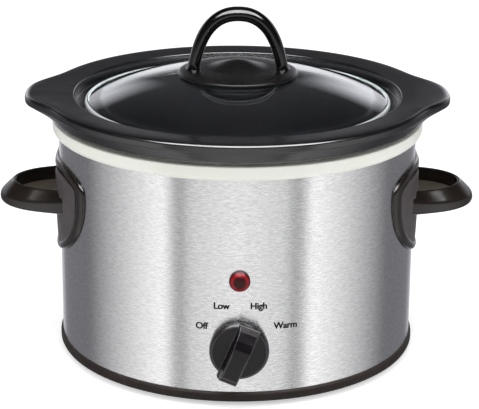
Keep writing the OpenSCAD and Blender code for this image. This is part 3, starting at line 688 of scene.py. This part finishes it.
def on_pad_face(at):
    """Whether a point, in millimetres, lies on the pad's outer side and within its border."""
    above = at.z > PAD_Z
    power = PAD_POWER_UP if above else PAD_POWER_DOWN
    across = abs(at.y) / (PAD_HALF - PAD_BORDER)
    up = abs(at.z - PAD_Z) / pad_reach(above, PAD_BORDER)
    outside = SATIN_FROM < math.hypot(at.x, at.y) < SATIN_TO
    return outside and across ** power + up ** power < SATIN_SHARE


def hold_rings():
    """The floor of the finger recess: out into the loop, and back along the pad."""
    root = SHELL_R - LOOP_ROOT
    reach = LOOP_REACH + LOOP_ROOT + HOLD_LAP
    half = LOOP_HALF + HOLD_LAP
    outline = []
    for i in range(HOLD_STEPS + 1):
        turn = math.radians(-90.0 + 180.0 * i / HOLD_STEPS)
        outline.append((root + reach * math.cos(turn), half * math.sin(turn)))
    for i in range(1, HOLD_BACK_STEPS):
        y = half * (1.0 - 2.0 * i / HOLD_BACK_STEPS)
        outline.append((math.sqrt((PAD_IN + HOLD_SINK) ** 2 - y * y), y))
    top = LOOP_Z - HOLD_DEPTH
    return [[(x, y, z) for x, y in outline] for z in (top - HOLD_T, top)]


def add_handle(side_name, side):
    """A pad with its loop, and the floor of the finger recess; the floor is duller and painted
    lighter (painted light), and the pad's face is painted lighter (painted sheen).
    """
    loop = [loop_section(-90.0 + 180.0 * i / LOOP_STEPS) for i in range(LOOP_STEPS + 1)]
    points, faces = joined(skin(loop), skin(pad_rings()))
    points = [(side * x, y, z) for x, y, z in points]
    moulding = add_piece("handle_moulding_" + side_name, points, faces, "handle_black", "base")
    # The pad's face within its border gets the satin finish with its painted sheen
    moulding.data.materials.append(PAD_SATIN_PAINTED_SHEEN)
    for face in moulding.data.polygons:
        face.material_index = 1 if on_pad_face(face.center / MM) else 0
    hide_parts(side_name + "_handle")
    # The recess floor is duller, with a lighter tone of painted light
    points, faces = skin(hold_rings())
    points = [(side * x, y, z) for x, y, z in points]
    add_piece("handle_recess_" + side_name, points, faces, "handle_black", "base", RECESS_PAINTED_LIGHT)


add_handle("right", 1.0)
add_handle("left", -1.0)

# ----------------------------------------------------- glass and lid handle

# Fine steps, so that the reflections in the dome run smooth
GLASS_STEPS = 256
DOME_STEPS = 40
DOME_INSET = 1.0
# Where the rounded bead begins and ends on its circle, in degrees
BEAD_START = 100.0
BEAD_END = -110.0
BEAD_STEPS = 20
# How many degrees sooner the dome's underside meets the bead
UNDER_TURN = 1.4

GRIP_STEPS = 160
GRIP_SLOPE = 0.6
GRIP_DROP = 2.0
GRIP_DROP_POWER = 7
# Radius of the small flat in the middle, where the round base's skin closes
GRIP_HUB = 0.5
GRIP_UNDER_STEPS = 8
GRIP_TOP_STEPS = 24

ARCH_STEPS = 96
ARCH_SIDES = 40
ARCH_FOOT_Z = APEX_Z + 0.6
ARCH_RISE = APEX_Z + ARCH_H - ARCH_T / 2.0 - ARCH_FOOT_Z
ARCH_POWER = 0.88
# How much thicker the arch is at its top
ARCH_CROWN = 0.55
# How far the legs lean out at their feet, and the height over which that fades
ARCH_FLARE = 2.2
ARCH_FLARE_H = 9.0
# The legs' change at their feet: thinner seen from the front, wider seen from the side
ARCH_FOOT_POWER = 6
ARCH_FOOT_THIN = 0.3
ARCH_FOOT_WIDE = 1.2
# The fillet into the round base: its width, and the height over which it fades
FILLET = 1.2
FILLET_H = 0.9


def glass_top(r):
    """Height of the dome's upper side."""
    return DOME_MID_Z + math.sqrt(DOME_R * DOME_R - r * r)


def glass_section(_):
    """The dome's section, the same at each angle: over its top, round the thick edge and back."""
    half = math.degrees(math.asin((EDGE_R - DOME_INSET) / DOME_R))
    hole = math.degrees(math.asin(GLASS_HOLE_R / DOME_R))
    top = arc(0.0, DOME_MID_Z, DOME_R, 90.0 - hole, 90.0 - half, DOME_STEPS)
    bead = arc(EDGE_R, BEAD_Z, BEAD_R, BEAD_START, BEAD_END, BEAD_STEPS)
    start = 90.0 + UNDER_TURN - half
    under = arc(0.0, DOME_MID_Z, DOME_R - GLASS_T, start, 90.0 - hole, DOME_STEPS)
    return top + bead + under


dome = turned(glass_section, GLASS_STEPS)
glass = add_piece("lid_glass", *dome, "clear_glass", "lid")
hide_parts("glass_lid")

GRIP_Z = glass_top(GRIP_R) + GRIP_GAP


def grip_top(r):
    """Height of the handle's round base: nearly flat, with a low boss over the screw."""
    boss = BOSS_H * (1.0 - (r / BOSS_R) ** 2) ** 2 if r < BOSS_R else 0.0
    slope = GRIP_SLOPE * (1.0 - r / GRIP_R)
    drop = GRIP_DROP * (r / GRIP_R) ** GRIP_DROP_POWER
    return GRIP_Z + GRIP_RIM + slope - drop + boss


def grip_mesh():
    """The round base: dished underneath, with a rounded edge and a boss on top."""
    profile = []
    for i in range(GRIP_UNDER_STEPS + 1):
        r = GRIP_HUB + (GRIP_R - 1.0 - GRIP_HUB) * i / GRIP_UNDER_STEPS
        profile.append((r, glass_top(r) + GRIP_GAP))
    edge = [(GRIP_R - 0.6, GRIP_Z - 0.4), (GRIP_R, GRIP_Z - 0.4), (GRIP_R, GRIP_Z + 0.9)]
    edge += [(GRIP_R - 0.8, grip_top(GRIP_R - 0.8)), (GRIP_R - 2.0, grip_top(GRIP_R - 2.0))]
    profile += rounded(edge)
    for i in range(GRIP_TOP_STEPS):
        r = (GRIP_R - 3.0) * (1.0 - i / GRIP_TOP_STEPS)
        profile.append((r, grip_top(r)))
    profile.append((GRIP_HUB, grip_top(0.0)))
    rings = []
    for r, z in profile:
        rings.append([spun(r, z, 360.0 * i / GRIP_STEPS) for i in range(GRIP_STEPS)])
    return skin(rings)


def arch_ring(angle):
    """The arch's round section at an angle, with a small fillet where it meets the base."""
    out = math.cos(math.radians(angle))
    up = math.sin(math.radians(angle))
    foot = abs(out) ** ARCH_FOOT_POWER
    crown = ARCH_CROWN * up ** 2
    z = ARCH_FOOT_Z + (ARCH_RISE - crown) * up
    flare = ARCH_FLARE * math.exp((ARCH_FOOT_Z - z) / ARCH_FLARE_H)
    x = (ARCH_HALF + flare) * math.copysign(abs(out) ** ARCH_POWER, out)
    fillet = FILLET * math.exp(-max(0.0, z - grip_top(ARCH_HALF)) / FILLET_H)
    thick = ARCH_T / 2.0 + crown - ARCH_FOOT_THIN * foot + fillet
    wide = ARCH_W / 2.0 + ARCH_FOOT_WIDE * foot + fillet
    ring = []
    for i in range(ARCH_SIDES):
        side = 2.0 * math.pi * i / ARCH_SIDES
        off = thick * math.cos(side)
        ring.append((x + off * out, wide * math.sin(side), z + off * up))
    return ring


arch = skin([arch_ring(180.0 * i / ARCH_STEPS) for i in range(ARCH_STEPS + 1)])
add_piece("lid_arch", *arch, "lid_black", "lid")
disc = add_piece("lid_disc", *grip_mesh(), "lid_black", "lid", DISC_BLACK)
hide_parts("lid_handle")

# ---------------------------------------------------------------------- knob

# Width of the rounding, and the distance under which two points are one, in metres
KNOB_BEVEL = 0.0004
KNOB_MERGE = 1e-6
KNOB_BEVEL_STEPS = 3
# Edges flatter than the first angle are dropped, and those sharper than the second rounded
FLAT_ANGLE = 1.5
BEVEL_ANGLE = 28.0


def add_knob():
    """The knob's solid with its edges rounded over, and a lighter tone on them that is a painted
    highlight.
    """
    knob = bpy.data.objects.new("knob_moulding", frame["nodes"]["control_knob"].data.copy())
    scene.collection.objects.link(knob)
    work = bmesh.new()
    work.from_mesh(knob.data)
    bmesh.ops.remove_doubles(work, verts=work.verts, dist=KNOB_MERGE)
    flat = math.radians(FLAT_ANGLE)
    bmesh.ops.dissolve_limit(work, angle_limit=flat, verts=work.verts, edges=work.edges)
    work.to_mesh(knob.data)
    work.free()
    knob.data.materials.clear()
    knob.data.materials.append(SLOTS["knob_black"])
    knob.data.materials.append(EDGE_PAINTED_HIGHLIGHT)
    bevel = knob.modifiers.new("edges", "BEVEL")
    bevel.width = KNOB_BEVEL
    bevel.segments = KNOB_BEVEL_STEPS
    bevel.limit_method = "ANGLE"
    bevel.angle_limit = math.radians(BEVEL_ANGLE)
    bevel.use_clamp_overlap = False
    bevel.harden_normals = True
    # The rounded edges get the painted highlight
    bevel.material = 1
    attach(knob, "knob")
    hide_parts("control_knob")


add_knob()

# -------------------------------------------------------------------- labels

# Height of the letters, what is added to their outline all round, and how fine their curves are
LABEL_SIZE = 5.8
LABEL_WEIGHT = 0.11
LABEL_CURVES = 6
# The print is three layers of letters, shifted sideways, the first one proud of the steel
LABEL_SHIFTS = (-0.12, 0.0, 0.12)
LABEL_PROUD = 0.03
LABEL_LAYER = 0.004
LABEL_SPACING = 0.97
LABEL_NARROW = 0.97
# Each word with its angle round the housing in degrees, and its height
LABELS = (("Off", -11.4, 51.4), ("Low", -5.4, 64.7), ("High", 5.8, 64.7), ("Warm", 14.1, 51.4))


def flat_letters(word):
    """A word's letters as a flat mesh, in metres."""
    text = bpy.data.curves.new("label", "FONT")
    text.body = word
    text.size = LABEL_SIZE * MM
    text.align_x = "CENTER"
    text.align_y = "CENTER"
    text.resolution_u = LABEL_CURVES
    text.offset = LABEL_WEIGHT * MM
    text.space_character = LABEL_SPACING
    flat = bpy.data.objects.new("label", text)
    scene.collection.objects.link(flat)
    bpy.context.view_layer.update()
    mesh = bpy.data.meshes.new_from_object(flat)
    bpy.data.objects.remove(flat)
    return mesh


def add_label(word, angle, height):
    """A setting's word printed on the housing: flat letters bent round it."""
    flat = flat_letters(word)
    points = []
    faces = []
    for layer, shift in enumerate(LABEL_SHIFTS):
        radius = (SHELL_R + LABEL_PROUD + LABEL_LAYER * layer) * MM
        first = len(points)
        for vertex in flat.vertices:
            turn = math.radians(angle) + (LABEL_NARROW * vertex.co.x + shift * MM) / radius
            z = height * MM + vertex.co.y
            points.append((radius * math.sin(turn), -radius * math.cos(turn), z))
        faces += [[first + v for v in face.vertices] for face in flat.polygons]
    mesh = bpy.data.meshes.new("label")
    mesh.from_pydata(points, [], faces)
    mesh.materials.append(PRINTED_INK)
    piece = bpy.data.objects.new("label_" + word.lower(), mesh)
    scene.collection.objects.link(piece)
    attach(piece, "base")


for word, angle, height in LABELS:
    add_label(word, angle, height)

# -------------------------------------------------------- floor, world, lamps

WHITE = (1.0, 1.0, 1.0, 1.0)
FLOOR_SIZE = 8.0
FLOOR_DARK = (0.86, 0.86, 0.86, 1.0)
FLOOR_LIGHT = (0.88, 0.88, 0.88, 1.0)
# Light that the floor adds for the camera alone
GLOW = 0.5
# Strength of the world's even light on the object
DIFFUSE = 0.62
# Rays let through the glass see white below this height of their direction, and the studio above
WHITE_BELOW = 0.1

# Walls of the studio that metal and gloss see: degrees from the camera's side and brightness
# there. The light runs evenly from each place to the next.
FRONT_WALL = ((0, 1.05), (30, 0.85))
DARK_GAP = ((36, 0.45), (40, 0.45))
BRIGHT_STRIP = ((48, 1.3),)
SIDE_WALL = ((66, 1.0),)
DARK_CORNER = ((110, 0.2), (150, 0.2))
BACK_WALL = ((170, 0.95), (180, 0.95))
STUDIO = FRONT_WALL + DARK_GAP + BRIGHT_STRIP + SIDE_WALL + DARK_CORNER + BACK_WALL
# Past this many degrees the studio is a little bluer
COOL_FROM = 90
COOL = 1.07
# Heights of direction between which the studio darkens, and the share of light that it keeps
HORIZON = (-0.02, 0.2)
UPPER = 0.09
# A soft box over the camera, seen by reflections: strength, widening, direction and soft edge
BOX = 14.0
BOX_SPREAD = 0.7
BOX_TOWARDS = (0.02, -0.38, 0.92)
BOX_EDGE = (0.89, 0.94)
# Two soft boxes behind the object, left and right: strength, and the degrees from the camera's
# side and heights of direction between which they begin, are full, fade and end
REAR = 3.5
REAR_TURN = (118, 134, 158, 172)
REAR_RISE = (-0.02, 0.1, 0.24, 0.4)

LAMP_AIM = (0.0, 0.0, 0.1)


def add_floor():
    """A white floor that keeps the shadow and isn't seen in reflections."""
    half = FLOOR_SIZE / 2.0
    corners = [(-half, -half, 0.0), (half, -half, 0.0), (half, half, 0.0), (-half, half, 0.0)]
    mesh = bpy.data.meshes.new("floor")
    mesh.from_pydata(corners, [], [(0, 1, 2, 3)])
    finish = Finish("floor_white", Roughness=0.9, Specular_IOR_Level=0.0)
    finish.tones(finish.noise(3.0), FLOOR_DARK, FLOOR_LIGHT)
    tree = finish.tree
    path = tree.nodes.new("ShaderNodeLightPath")
    glow = tree.nodes.new("ShaderNodeEmission")
    glow.inputs["Color"].default_value = WHITE
    strength = calc(tree, "MULTIPLY", path.outputs["Is Camera Ray"], GLOW)
    tree.links.new(strength, glow.inputs["Strength"])
    lit = tree.nodes.new("ShaderNodeAddShader")
    tree.links.new(finish.shader.outputs["BSDF"], lit.inputs[0])
    tree.links.new(glow.outputs["Emission"], lit.inputs[1])
    through = tree.nodes.new("ShaderNodeBsdfTransparent")
    glossy = path.outputs["Is Glossy Ray"]
    seen = mixed(tree, glossy, lit.outputs["Shader"], through.outputs["BSDF"])
    tree.links.new(seen, tree.nodes["Material Output"].inputs["Surface"])
    mesh.materials.append(finish.material)
    floor = bpy.data.objects.new("floor", mesh)
    scene.collection.objects.link(floor)


def studio_panels(tree, turn):
    """Colour and brightness all round the studio, by the angle from the camera's side."""
    panels = tree.nodes.new("ShaderNodeValToRGB")
    panels.color_ramp.elements[0].position = 0.0
    panels.color_ramp.elements[1].position = 1.0
    for degrees, _ in STUDIO[1:-1]:
        panels.color_ramp.elements.new(degrees / 180.0)
    for element, (degrees, level) in zip(panels.color_ramp.elements, STUDIO):
        cool = COOL if degrees > COOL_FROM else 1.0
        element.color = (level, level, level * cool, 1.0)
    tree.links.new(calc(tree, "DIVIDE", turn, math.pi), panels.inputs["Fac"])
    return panels.outputs["Color"]


def over_camera_box(tree, x, y, z):
    """The soft box over the camera, by how near a direction is to its own."""
    aim = Vector(BOX_TOWARDS).normalized()
    across = calc(tree, "MULTIPLY_ADD", y, aim.y, calc(tree, "MULTIPLY", x, aim.x))
    near = calc(tree, "MULTIPLY_ADD", z, aim.z, across)
    side = calc(tree, "MULTIPLY", x, x)
    length = calc(tree, "SQRT", calc(tree, "MULTIPLY_ADD", side, -BOX_SPREAD, 1.0))
    return ramp(tree, calc(tree, "DIVIDE", near, length), BOX_EDGE[0], BOX_EDGE[1], 0.0, BOX)


def studio_light(tree, split, glossy):
    """Brightness in a direction, for reflections: panels all round and three soft boxes."""
    x = split.outputs["X"]
    y = split.outputs["Y"]
    z = split.outputs["Z"]
    turn = calc(tree, "ABSOLUTE", calc(tree, "ARCTAN2", x, calc(tree, "MULTIPLY", y, -1.0)))
    up = ramp(tree, z, HORIZON[0], HORIZON[1], 1.0, UPPER)
    rear = window(tree, turn, [math.radians(limit) for limit in REAR_TURN])
    rear = calc(tree, "MULTIPLY", rear, window(tree, z, REAR_RISE))
    level = calc(tree, "MULTIPLY_ADD", rear, REAR, up)
    level = calc(tree, "MULTIPLY_ADD", over_camera_box(tree, x, y, z), glossy, level)
    light = tree.nodes.new("ShaderNodeBackground")
    tree.links.new(studio_panels(tree, turn), light.inputs["Color"])
    tree.links.new(level, light.inputs["Strength"])
    return light.outputs["Background"]


def add_world():
    """White to the eye, soft light on the object, and the studio in the reflections."""
    world = bpy.data.worlds.new("studio")
    world.use_nodes = True
    scene.world = world
    tree = world.node_tree
    tree.nodes.clear()
    path = tree.nodes.new("ShaderNodeLightPath")
    soft = tree.nodes.new("ShaderNodeBackground")
    soft.inputs["Color"].default_value = WHITE
    soft.inputs["Strength"].default_value = DIFFUSE
    white = tree.nodes.new("ShaderNodeBackground")
    white.inputs["Color"].default_value = WHITE
    coords = tree.nodes.new("ShaderNodeTexCoord")
    split = tree.nodes.new("ShaderNodeSeparateXYZ")
    tree.links.new(coords.outputs["Generated"], split.inputs["Vector"])
    glossy = path.outputs["Is Glossy Ray"]
    sent_through = path.outputs["Is Transmission Ray"]
    below = calc(tree, "LESS_THAN", split.outputs["Z"], WHITE_BELOW)
    through = calc(tree, "MULTIPLY", sent_through, below)
    seen = calc(tree, "MAXIMUM", path.outputs["Is Camera Ray"], through)
    shiny = calc(tree, "MAXIMUM", glossy, sent_through)
    studio = studio_light(tree, split, glossy)
    unseen = mixed(tree, shiny, soft.outputs["Background"], studio)
    final = mixed(tree, seen, unseen, white.outputs["Background"])
    out = tree.nodes.new("ShaderNodeOutputWorld")
    tree.links.new(final, out.inputs["Surface"])


def add_lamp(name, at, size, power):
    """A soft box that looks at the object and isn't seen in reflections."""
    data = bpy.data.lights.new(name, "AREA")
    data.shape = "RECTANGLE"
    data.size = size[0]
    data.size_y = size[1]
    data.energy = power
    lamp = bpy.data.objects.new(name, data)
    lamp.location = at
    lamp.rotation_euler = (Vector(LAMP_AIM) - Vector(at)).to_track_quat("-Z", "Y").to_euler()
    lamp.visible_glossy = False
    scene.collection.objects.link(lamp)


add_floor()
add_world()
add_lamp("top_box", at=(0.0, -0.15, 1.35), size=(0.9, 0.7), power=5.0)
add_lamp("left_box", at=(-1.1, -0.6, 0.8), size=(0.4, 0.9), power=3.5)
add_lamp("right_box", at=(1.1, -0.6, 0.8), size=(0.4, 0.9), power=3.5)

scene.view_settings.view_transform = "Standard"
